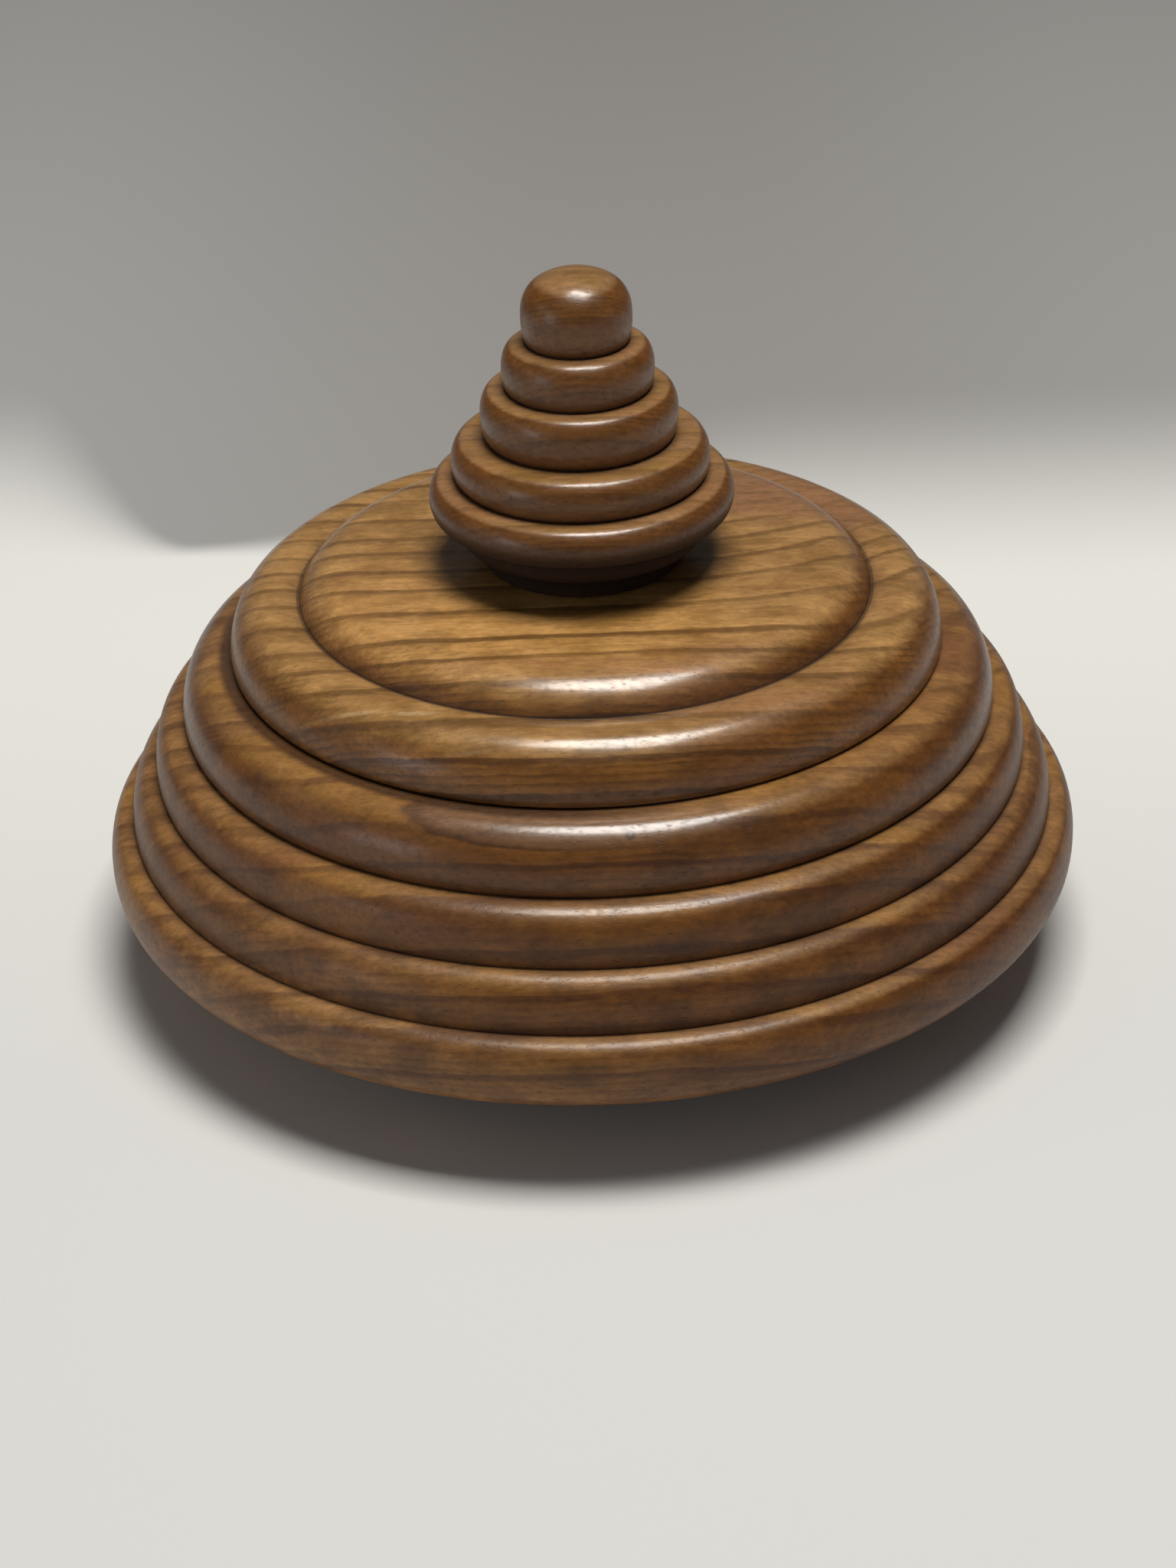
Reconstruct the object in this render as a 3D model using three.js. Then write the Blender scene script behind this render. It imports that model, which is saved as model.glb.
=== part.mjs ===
// A turned wooden pot with a drop-in lid and a stepped finial.
// The model is in millimetres with +Z up, standing on z = 0 with its axis on the Z axis.
// Three turned pieces: the pot body, the lid, and the finial that is glued into the lid.

import * as THREE from 'three';

// Body, outside: each ring runs from the groove under it, out to its widest line, and in again at its crown.
// drop and tuck are the height and depth of the curve under the widest line, rise and crown those above it.
// roundness is 2 for a crown that is part of an ellipse, and more for one with a squarer turn.
const widestRing = { radius: 75, drop: 4.8, tuck: 4.2, rise: 6.2, crown: 4.2, roundness: 2.8 };
const lowerRing = { radius: 71.1, drop: 0.6, tuck: 0.3, rise: 7.5, crown: 4.9, roundness: 2.4 };
const upperRing = { radius: 66.8, drop: 1.2, tuck: 0.5, rise: 7.3, crown: 5.6, roundness: 2.8 };
const shoulderRing = { radius: 62, drop: 1.7, tuck: 0.8, rise: 8, crown: 6.2, roundness: 2 };

// Body, foot and underside
const footRadius = 47;
const footHeight = 3;
const footRimWidth = 7;
const footRecessDepth = 1.5;
const undersideRise = 10;
const undersideBelly = 2;

// Body, inside
const mouthRadius = 47.8;
const lipDepth = 8;
const insideRadius = 60;
const insideWidestHeight = 24;
const floorThickness = 8;
const floorCurveWidth = 16;

// Lid: a ring, and on it a disc whose edge is rounded right down to the groove at its foot
const lidRing = { radius: 54.1, drop: 0.8, tuck: 0.5, rise: 8.2, crown: 6.6, roundness: 2 };
const lidDisc = { radius: 43.3, height: 4.8, rounding: 7.5 };
const discGrooveDepth = 0.7;
const spigotDepth = 6;
const spigotWidth = 6.5;
const dishHeight = 4;
const dishCurve = 3;
const socketRadius = 6.3;
const socketDepth = 6.5;

// Finial, from its neck up
const neckRadius = 15;
const neckHeight = 3.6;
const baseRing = { radius: 18.6, drop: 1.8, tuck: 1.5, rise: 2.6, crown: 1.2, roundness: 2 };
const brimRing = { radius: 22.8, drop: 2.5, tuck: 1.3, rise: 3.1, crown: 2.4, roundness: 2 };
const secondRing = { radius: 19.3, drop: 2.7, tuck: 1.1, rise: 3.4, crown: 2.4, roundness: 2 };
const thirdRing = { radius: 14.7, drop: 3.7, tuck: 1.1, rise: 4, crown: 2.5, roundness: 2.4 };
const collarRing = { radius: 11.3, drop: 3, tuck: 0.8, rise: 4.1, crown: 2.8, roundness: 2.4 };
const knob = { radius: 8.2, drop: 4, tuck: 0.8, rise: 6.6, roundness: 2.5 };
const tenonLength = 6;

// Fits: the lid sits loose on the shoulder, and the tenon has room for glue.
const seatGap = 0.3;
const spigotClearance = 0.5;
const tenonClearance = 0.3;

// Facets around each piece, and along its curves
const bodyFacets = 48;
const lidFacets = 48;
const finialFacets = 28;
const arcSteps = 5;
const underSteps = 3;

const degrees = Math.PI / 180;

// Points on an ellipse about a centre, from one angle to another, both ends included.
function ellipseArc(centreRadius, centreHeight, semiRadius, semiHeight, fromDegrees, toDegrees, steps) {
  const points = [];
  for (let step = 0; step <= steps; step += 1) {
    const angle = (fromDegrees + ((toDegrees - fromDegrees) * step) / steps) * degrees;
    points.push([
      centreRadius + semiRadius * Math.cos(angle),
      centreHeight + semiHeight * Math.sin(angle),
    ]);
  }
  return points;
}

// A quarter of a rounded form, from its widest line up and in to its top, both ends included.
function roundedOver(innerRadius, equator, reach, rise, roundness, steps) {
  const points = [];
  for (let step = 0; step <= steps; step += 1) {
    const angle = (90 * degrees * step) / steps;
    const out = step === steps ? 0 : Math.cos(angle) ** (2 / roundness);
    points.push([innerRadius + reach * out, equator + rise * Math.sin(angle) ** (2 / roundness)]);
  }
  return points;
}

// The height that a ring takes up, from the groove under it to its crown.
function ringHeight(ring) {
  return ring.drop + ring.rise;
}

// The curve under a ring's widest line, from the groove out.
function ringUnder(ring, grooveHeight, steps) {
  const equator = grooveHeight + ring.drop;
  return ellipseArc(ring.radius - ring.tuck, equator, ring.tuck, ring.drop, -90, 0, steps);
}

// The radius at which a ring stands on what is under it.
function ringFoot(ring) {
  return ring.radius - ring.tuck;
}

// How far a ring's crown reaches in: no further than the foot of a narrower piece that stands on it.
function crownReach(ring, footAbove) {
  if (footAbove > ring.radius) return ring.crown;
  return Math.min(ring.crown, ring.radius - footAbove);
}

// The whole outside of a ring, from the groove under it to its crown.
function ringOutline(ring, grooveHeight, footAbove) {
  const equator = grooveHeight + ring.drop;
  const crown = crownReach(ring, footAbove);
  const under = ringUnder(ring, grooveHeight, underSteps);
  const over = roundedOver(ring.radius - crown, equator, crown, ring.rise, ring.roundness, arcSteps);
  return [...under, ...over.slice(1)];
}

// Rings one on another, from the lowest up. topFoot is the foot of what stands on the last one.
function stackedRings(rings, lowestGroove, topFoot) {
  const points = [];
  let groove = lowestGroove;
  rings.forEach((ring, place) => {
    const footAbove = place + 1 < rings.length ? ringFoot(rings[place + 1]) : topFoot;
    points.push(...ringOutline(ring, groove, footAbove));
    groove += ringHeight(ring);
  });
  return points;
}

// A solid of revolution about Z. The outline runs from the axis underneath, up the outside, to the axis.
function turned(name, outline, facets, material) {
  const profile = outline.map(([radius, height]) => new THREE.Vector2(radius, height));
  const geometry = new THREE.LatheGeometry(profile, facets);
  geometry.rotateX(Math.PI / 2);
  const mesh = new THREE.Mesh(geometry, material);
  mesh.name = name;
  return mesh;
}

// Heights that the pieces share
const undersideTop = footHeight + undersideRise;
const bodyRings = [widestRing, lowerRing, upperRing, shoulderRing];
const shoulderHeight = bodyRings.reduce((height, ring) => height + ringHeight(ring), undersideTop);
const discFoot = ringHeight(lidRing) - discGrooveDepth;
const lidHeight = discFoot + lidDisc.height;

// Body
function bodyOutline() {
  const footInnerRadius = footRadius - footRimWidth;
  const underRadius = ringFoot(widestRing);
  const underCurve = [];
  for (let step = 1; step < arcSteps; step += 1) {
    const share = step / arcSteps;
    const belly = undersideBelly * Math.sin(share * Math.PI);
    underCurve.push([
      footRadius + (underRadius - footRadius) * share,
      footHeight + undersideRise * share - belly,
    ]);
  }
  const lipBottom = shoulderHeight - lipDepth;
  const floorCurveRadius = insideRadius - floorCurveWidth;
  const insideTop = ellipseArc(
    mouthRadius, insideWidestHeight,
    insideRadius - mouthRadius, lipBottom - insideWidestHeight,
    90, 0, arcSteps + 1,
  );
  const insideFloor = ellipseArc(
    floorCurveRadius, insideWidestHeight,
    floorCurveWidth, insideWidestHeight - floorThickness,
    0, -90, arcSteps + 1,
  );
  return [
    [0, footRecessDepth],
    [footInnerRadius - footRecessDepth, footRecessDepth],
    [footInnerRadius, 0],
    [footRadius, 0],
    [footRadius, footHeight],
    ...underCurve,
    ...stackedRings(bodyRings, undersideTop, ringFoot(lidRing)),
    [mouthRadius, shoulderHeight],
    ...insideTop,
    ...insideFloor.slice(1),
    [0, floorThickness],
  ];
}

// The inner side of the lid's ring, from its crown down into the groove, and the rounded edge of the disc
function discOutline() {
  const crownEnd = lidRing.radius - lidRing.crown;
  const dip = ellipseArc(
    crownEnd, discFoot,
    crownEnd - lidDisc.radius, discGrooveDepth,
    90, 180, underSteps,
  );
  const footAngle = Math.asin(1 - lidDisc.height / lidDisc.rounding);
  const edge = ellipseArc(
    lidDisc.radius - lidDisc.rounding * Math.cos(footAngle), lidHeight - lidDisc.rounding,
    lidDisc.rounding, lidDisc.rounding,
    footAngle / degrees, 90, arcSteps + 1,
  );
  return [...dip.slice(1), ...edge.slice(1)];
}

// Lid, drawn with the underside of its rim at height 0
function lidOutline() {
  const spigotRadius = mouthRadius - spigotClearance;
  const dishRadius = spigotRadius - spigotWidth;
  const dishTop = ellipseArc(
    dishRadius - dishCurve, dishHeight - dishCurve,
    dishCurve, dishCurve,
    90, 0, underSteps,
  );
  return [
    [0, dishHeight],
    ...dishTop,
    [dishRadius, -spigotDepth],
    [spigotRadius, -spigotDepth],
    [spigotRadius, 0],
    ...ringOutline(lidRing, 0, lidDisc.radius),
    ...discOutline(),
    [socketRadius, lidHeight],
    [socketRadius, lidHeight - socketDepth],
    [0, lidHeight - socketDepth],
  ];
}

// Finial, drawn with the underside of its neck at height 0
function finialOutline() {
  const tenonRadius = socketRadius - tenonClearance;
  const rings = [baseRing, brimRing, secondRing, thirdRing, collarRing];
  const knobGroove = rings.reduce((height, ring) => height + ringHeight(ring), neckHeight);
  return [
    [0, -tenonLength],
    [tenonRadius, -tenonLength],
    [tenonRadius, 0],
    [neckRadius, 0],
    [neckRadius, neckHeight],
    ...stackedRings(rings, neckHeight, ringFoot(knob)),
    ...ringUnder(knob, knobGroove, underSteps),
    ...roundedOver(0, knobGroove + knob.drop, knob.radius, knob.rise, knob.roundness, arcSteps + 1).slice(1),
  ];
}

// Polished softwood: the body is a redder piece than the lid and finial.
const bodyWood = new THREE.MeshStandardMaterial({ color: 0x7d4f2c, roughness: 0.35, metalness: 0 });
const lidWood = new THREE.MeshStandardMaterial({ color: 0x8d5f28, roughness: 0.35, metalness: 0 });
const finialWood = new THREE.MeshStandardMaterial({ color: 0x83572f, roughness: 0.35, metalness: 0 });

const pot = new THREE.Group();
pot.add(turned('pot_body', bodyOutline(), bodyFacets, bodyWood));

const lidAssembly = new THREE.Group();
lidAssembly.position.z = shoulderHeight + seatGap;
pot.add(lidAssembly);
lidAssembly.add(turned('lid', lidOutline(), lidFacets, lidWood));

const finial = turned('finial', finialOutline(), finialFacets, finialWood);
finial.position.z = lidHeight + seatGap;
lidAssembly.add(finial);

export default pot;
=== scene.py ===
"""A turned wooden pot with a drop-in lid and a ringed finial, and the small studio it stands in."""

import math

import bmesh
import bpy
from bpy.props import FloatProperty, FloatVectorProperty, IntProperty, PointerProperty
from bpy.types import Operator, Panel, PropertyGroup
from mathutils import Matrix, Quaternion, Vector


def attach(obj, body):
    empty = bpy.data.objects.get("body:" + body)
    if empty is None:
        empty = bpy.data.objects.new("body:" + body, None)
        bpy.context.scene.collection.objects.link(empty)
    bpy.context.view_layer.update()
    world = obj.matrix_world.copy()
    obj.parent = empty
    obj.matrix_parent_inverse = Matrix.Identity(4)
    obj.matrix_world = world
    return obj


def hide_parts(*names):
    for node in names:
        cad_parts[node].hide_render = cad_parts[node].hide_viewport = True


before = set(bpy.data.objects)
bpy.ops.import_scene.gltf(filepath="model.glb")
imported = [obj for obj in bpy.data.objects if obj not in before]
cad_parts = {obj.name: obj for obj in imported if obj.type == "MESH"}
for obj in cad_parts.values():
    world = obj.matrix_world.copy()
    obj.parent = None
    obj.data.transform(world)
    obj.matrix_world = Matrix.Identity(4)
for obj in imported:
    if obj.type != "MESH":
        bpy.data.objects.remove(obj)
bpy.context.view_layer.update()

bl_info = {
    "name": "Turned Wooden Pot",
    "version": (1, 0, 0),
    "blender": (4, 5, 0),
    "location": "3D View > Sidebar > Pot",
    "description": "Turned pot body, lid and finial in procedural wood, and a studio stage",
    "category": "Object",
}

MILLIMETRE = 0.001

# Reading the CAD outlines: how near the axis or the cut a point counts as on it, in metres, and
# to how many decimals it is rounded
AXIS_REACH = 1e-7
CUT_REACH = 1e-5
OUTLINE_DECIMALS = 6

# How many steps of a curve make one step of a straight run
STRAIGHT_STEPS = 3

# Corners: the sharpest turn in degrees that is still a curve, the steps of a rounded corner, how
# much of a run a corner may take, and how many points behind it tell how long that run is
CORNER_TURN = 42
CORNER_STEPS = 6
CORNER_SHARE = 0.4
CORNER_LOOKBACK = 40

# How far up a surface faces, in degrees, where the crown ends and where the flank, with its painted
# shade, is at its full
CROWN_FACING = 73.0
FLANK_FACING = 21.0

# Heights on the pot, in millimetres
WIDEST_RING_TOP = 24.0
UPPER_RING_TOP = 40.6
DISC_FOOT = 58.9
FINIAL_FOOT = 64.0
BRIM_FOOT = 72.0

# Figure of the wood: the size of each unevenness across the grain, in millimetres
LAYER_WAVE_SIZE = 26.0
LAYER_RIPPLE_SIZE = 3.0
LINE_STRENGTH_SIZE = 11.0
LINE_EDGE_SIZE = 1.5
FINE_WAVE_SIZE = 7.0
FINE_BREAK_SIZE = 5.0
FINE_AREA_SIZE = 14.0
MOTTLE_SIZE = 3.0
RED_AREA_SIZE = 20.0
FIBRE_SIZE = 0.42
BROAD_FIBRE_SIZE = 1.6
PORE_SIZE = 0.32
PIT_SIZE = 1.1
SPECKLE_SIZE = 0.8
GOLDEN_SIZE = 13.0
TONGUE_WAVER_SIZE = 3.5
PLAIN_WAVER_SIZE = 9.0

# How short a length along the grain counts as, next to one across it
GRAIN_SQUEEZE = 0.25
RIPPLE_SQUEEZE = 0.3
LINE_EDGE_SQUEEZE = 0.35
FIBRE_SQUEEZE = 0.12
PORE_SQUEEZE = 0.2
SPECKLE_SQUEEZE = 0.6
GOLDEN_SQUEEZE = 0.3
TONGUE_SQUEEZE = 0.4

# Where in a yearly layer, from 0 to 1, its marks come and go
LINE_COMES = (0.78, 0.92)
LINE_GOES = (0.925, 0.995)
SHADE_COMES = (0.25, 0.9)
SHADE_GOES = (0.92, 0.99)
FINE_COMES = (0.3, 0.8)
FINE_GOES = (0.82, 0.98)
FINE_LINES_PER_LAYER = 4.2

# Colours of the pores and of the dirt and painted shade deep in the grooves, and what the painted
# shade on the flanks and the dirt and painted shade in the grooves multiply the wood's colour by
PORE_COLOUR = (0.05, 0.024, 0.012)
GROOVE_DIRT_AND_SHADE = (0.03, 0.014, 0.008)
FLANK_SHADE_TINT = (0.5, 0.405, 0.27)
STEEP_FLANK_SHADE_TINT = (0.9, 0.78, 0.5)
GROOVE_DIRT_AND_SHADE_TINT = (0.45, 0.42, 0.4)

# Polish, and the relief of the fibres under it
WOOD_IOR = 1.5
WOOD_SPECULAR = 0.35
POLISH_IOR = 1.5
POLISH_ROUGHNESS = 0.19
RELIEF_STRENGTH = 0.6
RELIEF_DEPTH = 0.06 * MILLIMETRE

# Marks on the body: centres, reaches and radii in millimetres, and colours
TONGUE_CENTRE = (-1.0, -57.0, 50.6)
TONGUE_REACH = (27.0, 14.0, 3.1)
TONGUE_COLOUR = (0.185, 0.096, 0.05)
RIM_COLOUR = (0.11, 0.05, 0.02)
BESIDE_CENTRE = (-27.0, -50.0, 47.0)
BESIDE_REACH = (20.0, 18.0, 7.0)
BESIDE_COLOUR = (0.3, 0.145, 0.034)
GOLDEN_COLOUR = (0.35, 0.172, 0.038)
DIMPLE_CENTRE = (5.2, -58.6, 48.9)
DIMPLE_COLOUR = (0.06, 0.03, 0.015)
# Painted shadow under the left of the lid's edge: its radii and colour
LID_EDGE_SHADOW_RADII = (55.3, 56.7)
LID_EDGE_SHADOW_COLOUR = (0.06, 0.028, 0.013)

# Marks on the lid, and each scratch's start, its direction, what lies across it, and its length
PALE_CENTRE = (-16.0, -20.0, 63.7)
PALE_REACH = (34.0, 19.0, 4.0)
PALE_TINT = (1.34, 1.3, 1.24)
PLAIN_CENTRE = (31.0, 24.0, 60.0)
PLAIN_REACH = (17.0, 15.0, 12.0)
PLAIN_COLOUR = (0.29, 0.14, 0.065)
SCRATCH_COLOUR = (0.52, 0.34, 0.17)
SCRATCHES = (
    ((-42.6, -33.3, 53.0), (0.855, -0.37, 0.364), (-0.077, -0.784, -0.616), 17.0),
    ((-22.0, -47.4, 55.6), (0.985, -0.12, 0.12), (-0.02, -0.72, -0.69), 9.0),
    ((-27.5, -38.8, 58.0), (0.93, -0.3, 0.2), (-0.03, -0.6, -0.8), 8.0),
)

# Painted shadow on the finial, under its brim
BRIM_SHADOW_COLOUR = (0.1, 0.05, 0.028)
NECK_SHADOW_COLOUR = (0.03, 0.017, 0.012)

# Floor: lengths in metres
FLOOR_RADIUS = 1.6
FLOOR_FACETS = 96
FLOOR_RINGS = (0.0, 0.3, 0.7, 1.0)
WALL_CURVE = 0.7
WALL_CURVE_STEPS = 12
WALL_HEIGHT = 2.2
FLOOR_ROUGHNESS = 0.75
FLOOR_SPECULAR = 0.25
# Painted light on the far floor, and painted shade on the backdrop in its middle and at its right
FAR_FLOOR_LIT_COLOUR = (0.86, 0.856, 0.825)
MIDDLE_BACKDROP_SHADE = (0.33, 0.32, 0.31)
RIGHT_BACKDROP_SHADE = (0.365, 0.362, 0.35)

# Lamps, with sizes and places in metres
KEY_SIZE = (0.5, 0.6)
KEY_COLOUR = (1.0, 0.972, 0.92)
KEY_PLACE = (0.115, -0.045)
KEY_AIM_HEIGHT = 0.04
WINDOW_SIZE = (0.42, 0.4)
WINDOW_ENERGY = 1.2
WINDOW_COLOUR = (0.82, 0.9, 1.0)
WINDOW_PLACE = (-0.97, -0.68, 0.2)
SIDE_SIZE = (1.0, 0.6)
SIDE_ENERGY = 0.75
SIDE_COLOUR = (1.0, 0.95, 0.87)
SIDE_PLACE = (-1.25, -0.35, 0.55)
LOW_AIM_HEIGHT = 0.05
SKY_COLOUR = (0.86, 0.93, 1.08, 1.0)

# Camera: lengths in metres, and the shift as a share of the frame's longer side
CAMERA_DISTANCE = 0.546075
CAMERA_AIM_HEIGHT = 0.023925
FRAME_SHIFT = -3.8 / 2048
SENSOR_WIDTH = 36.0
NEAREST_SEEN = 0.01
FARTHEST_SEEN = 20.0


# Settings

class TurningSizes(PropertyGroup):
    """How finely the pieces are turned."""

    body_facets: IntProperty(
        name="Body Facets",
        description="Segments round the pot body",
        default=192,
        min=48,
    )
    lid_facets: IntProperty(
        name="Lid Facets",
        description="Segments round the lid",
        default=288,
        min=48,
    )
    finial_facets: IntProperty(
        name="Finial Facets",
        description="Segments round the finial",
        default=168,
        min=28,
    )
    step_length: FloatProperty(
        name="Step Length",
        description="Longest step along a curve of the outline",
        default=0.5 * MILLIMETRE,
        min=0.1 * MILLIMETRE,
        subtype="DISTANCE",
        unit="LENGTH",
    )
    edge_softness: FloatProperty(
        name="Edge Softness",
        description="How far an outward corner is sanded back on each side",
        default=0.45 * MILLIMETRE,
        min=0.0,
        subtype="DISTANCE",
        unit="LENGTH",
    )
    groove_softness: FloatProperty(
        name="Groove Softness",
        description="How far the finish fills a groove on each side",
        default=0.22 * MILLIMETRE,
        min=0.0,
        subtype="DISTANCE",
        unit="LENGTH",
    )
    # A groove's dark old finish is dirt and painted shade
    groove_reach: FloatProperty(
        name="Groove Reach",
        description="How far up its sides a groove holds dark old finish",
        default=1.6 * MILLIMETRE,
        min=0.1 * MILLIMETRE,
        subtype="DISTANCE",
        unit="LENGTH",
    )


class WoodFinish:
    """Grain and finish settings that every piece has."""

    light_wood: FloatVectorProperty(
        name="Light Wood",
        description="Colour of the soft wood between the growth lines",
        default=(0.485, 0.266, 0.09),
        subtype="COLOR",
        min=0.0,
        max=1.0,
    )
    deep_wood: FloatVectorProperty(
        name="Deep Wood",
        description="Colour of the darker drifts in the soft wood",
        default=(0.3, 0.155, 0.043),
        subtype="COLOR",
        min=0.0,
        max=1.0,
    )
    red_wood: FloatVectorProperty(
        name="Red Wood",
        description="Colour of the reddish patches",
        default=(0.33, 0.16, 0.065),
        subtype="COLOR",
        min=0.0,
        max=1.0,
    )
    line_wood: FloatVectorProperty(
        name="Line Wood",
        description="Colour of the dark growth lines",
        default=(0.165, 0.078, 0.022),
        subtype="COLOR",
        min=0.0,
        max=1.0,
    )
    line_spacing: FloatProperty(
        name="Line Spacing",
        description="Usual distance between the strong growth lines",
        default=4.8 * MILLIMETRE,
        min=0.2 * MILLIMETRE,
        subtype="DISTANCE",
        unit="LENGTH",
    )
    line_strength: FloatProperty(
        name="Line Strength",
        description="How strongly the growth lines show",
        default=0.9,
        min=0.0,
        max=1.0,
        subtype="FACTOR",
    )
    red_amount: FloatProperty(
        name="Red Amount",
        description="How much of the wood is reddish",
        default=0.4,
        min=0.0,
        max=1.0,
        subtype="FACTOR",
    )
    heart_ahead: FloatProperty(
        name="Heart Ahead",
        description="How far in front of the pot's axis the tree's heart lay",
        default=75.0 * MILLIMETRE,
        subtype="DISTANCE",
        unit="LENGTH",
    )
    heart_height: FloatProperty(
        name="Heart Height",
        description="How far above the table the tree's heart lay",
        default=0.0,
        subtype="DISTANCE",
        unit="LENGTH",
    )
    layer_wave: FloatProperty(
        name="Layer Wave",
        description="How far the layers of growth wave up and down",
        default=3.0 * MILLIMETRE,
        min=0.0,
        subtype="DISTANCE",
        unit="LENGTH",
    )
    # Painted shade: how much darker and greyer the steep sides are painted than the crowns
    flank_painted_shade: FloatProperty(
        name="Flank Painted Shade",
        description="How much darker and greyer the steep sides are than the rubbed crowns",
        default=0.95,
        min=0.0,
        max=1.0,
        subtype="FACTOR",
    )
    # Over how much of the curve the painted shade on the flanks grows
    flank_turn: FloatProperty(
        name="Flank Turn",
        description="Over how much of the curve from crown to side the patina grows",
        default=1.0,
        min=0.1,
        max=1.0,
        subtype="FACTOR",
    )
    fine_lines: FloatProperty(
        name="Fine Lines",
        description="How strongly the fine lines show on the steep sides",
        default=0.5,
        min=0.0,
        max=1.0,
        subtype="FACTOR",
    )
    # Dirt and painted shade in the grooves
    groove_dirt_and_shade: FloatProperty(
        name="Groove Dirt And Shade",
        description="How dark the old finish in the grooves is",
        default=0.62,
        min=0.0,
        max=1.0,
        subtype="FACTOR",
    )
    roughness: FloatProperty(
        name="Roughness",
        description="Roughness of the wood under the polish",
        default=0.3,
        min=0.0,
        max=1.0,
        subtype="FACTOR",
    )


class LidWood(WoodFinish, PropertyGroup):
    """The yellower board that the lid is turned from."""


class BodyWood(WoodFinish, PropertyGroup):
    """The redder block that the body is turned from."""

    light_wood: FloatVectorProperty(
        name="Light Wood",
        description="Colour of the soft wood between the growth lines",
        default=(0.35, 0.175, 0.056),
        subtype="COLOR",
        min=0.0,
        max=1.0,
    )
    deep_wood: FloatVectorProperty(
        name="Deep Wood",
        description="Colour of the darker drifts in the soft wood",
        default=(0.2, 0.096, 0.031),
        subtype="COLOR",
        min=0.0,
        max=1.0,
    )
    red_wood: FloatVectorProperty(
        name="Red Wood",
        description="Colour of the reddish patches",
        default=(0.23, 0.098, 0.036),
        subtype="COLOR",
        min=0.0,
        max=1.0,
    )
    line_wood: FloatVectorProperty(
        name="Line Wood",
        description="Colour of the dark growth lines",
        default=(0.1, 0.038, 0.014),
        subtype="COLOR",
        min=0.0,
        max=1.0,
    )
    line_spacing: FloatProperty(
        name="Line Spacing",
        description="Usual distance between the strong growth lines",
        default=5.6 * MILLIMETRE,
        min=0.2 * MILLIMETRE,
        subtype="DISTANCE",
        unit="LENGTH",
    )
    line_strength: FloatProperty(
        name="Line Strength",
        description="How strongly the growth lines show",
        default=0.55,
        min=0.0,
        max=1.0,
        subtype="FACTOR",
    )
    heart_ahead: FloatProperty(
        name="Heart Ahead",
        description="How far in front of the pot's axis the tree's heart lay",
        default=84.0 * MILLIMETRE,
        subtype="DISTANCE",
        unit="LENGTH",
    )
    heart_height: FloatProperty(
        name="Heart Height",
        description="How far above the table the tree's heart lay",
        default=-30.0 * MILLIMETRE,
        subtype="DISTANCE",
        unit="LENGTH",
    )
    layer_wave: FloatProperty(
        name="Layer Wave",
        description="How far the layers of growth wave up and down",
        default=8.0 * MILLIMETRE,
        min=0.0,
        subtype="DISTANCE",
        unit="LENGTH",
    )
    fine_lines: FloatProperty(
        name="Fine Lines",
        description="How strongly the fine lines show on the steep sides",
        default=0.2,
        min=0.0,
        max=1.0,
        subtype="FACTOR",
    )
    red_amount: FloatProperty(
        name="Red Amount",
        description="How much of the wood is reddish",
        default=0.35,
        min=0.0,
        max=1.0,
        subtype="FACTOR",
    )
    # Dirt and painted shade in the grooves
    groove_dirt_and_shade: FloatProperty(
        name="Groove Dirt And Shade",
        description="How dark the old finish in the grooves is",
        default=0.32,
        min=0.0,
        max=1.0,
        subtype="FACTOR",
    )


class FinialWood(WoodFinish, PropertyGroup):
    """The wood of the finial, near the body's colour."""

    light_wood: FloatVectorProperty(
        name="Light Wood",
        description="Colour of the soft wood between the growth lines",
        default=(0.34, 0.182, 0.075),
        subtype="COLOR",
        min=0.0,
        max=1.0,
    )
    line_spacing: FloatProperty(
        name="Line Spacing",
        description="Usual distance between the strong growth lines",
        default=4.0 * MILLIMETRE,
        min=0.2 * MILLIMETRE,
        subtype="DISTANCE",
        unit="LENGTH",
    )
    line_strength: FloatProperty(
        name="Line Strength",
        description="How strongly the growth lines show",
        default=0.4,
        min=0.0,
        max=1.0,
        subtype="FACTOR",
    )
    # Over how much of the curve the painted shade on the flanks grows
    flank_turn: FloatProperty(
        name="Flank Turn",
        description="Over how much of the curve from crown to side the patina grows",
        default=0.5,
        min=0.1,
        max=1.0,
        subtype="FACTOR",
    )
    fine_lines: FloatProperty(
        name="Fine Lines",
        description="How strongly the fine lines show on the steep sides",
        default=0.3,
        min=0.0,
        max=1.0,
        subtype="FACTOR",
    )


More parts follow.
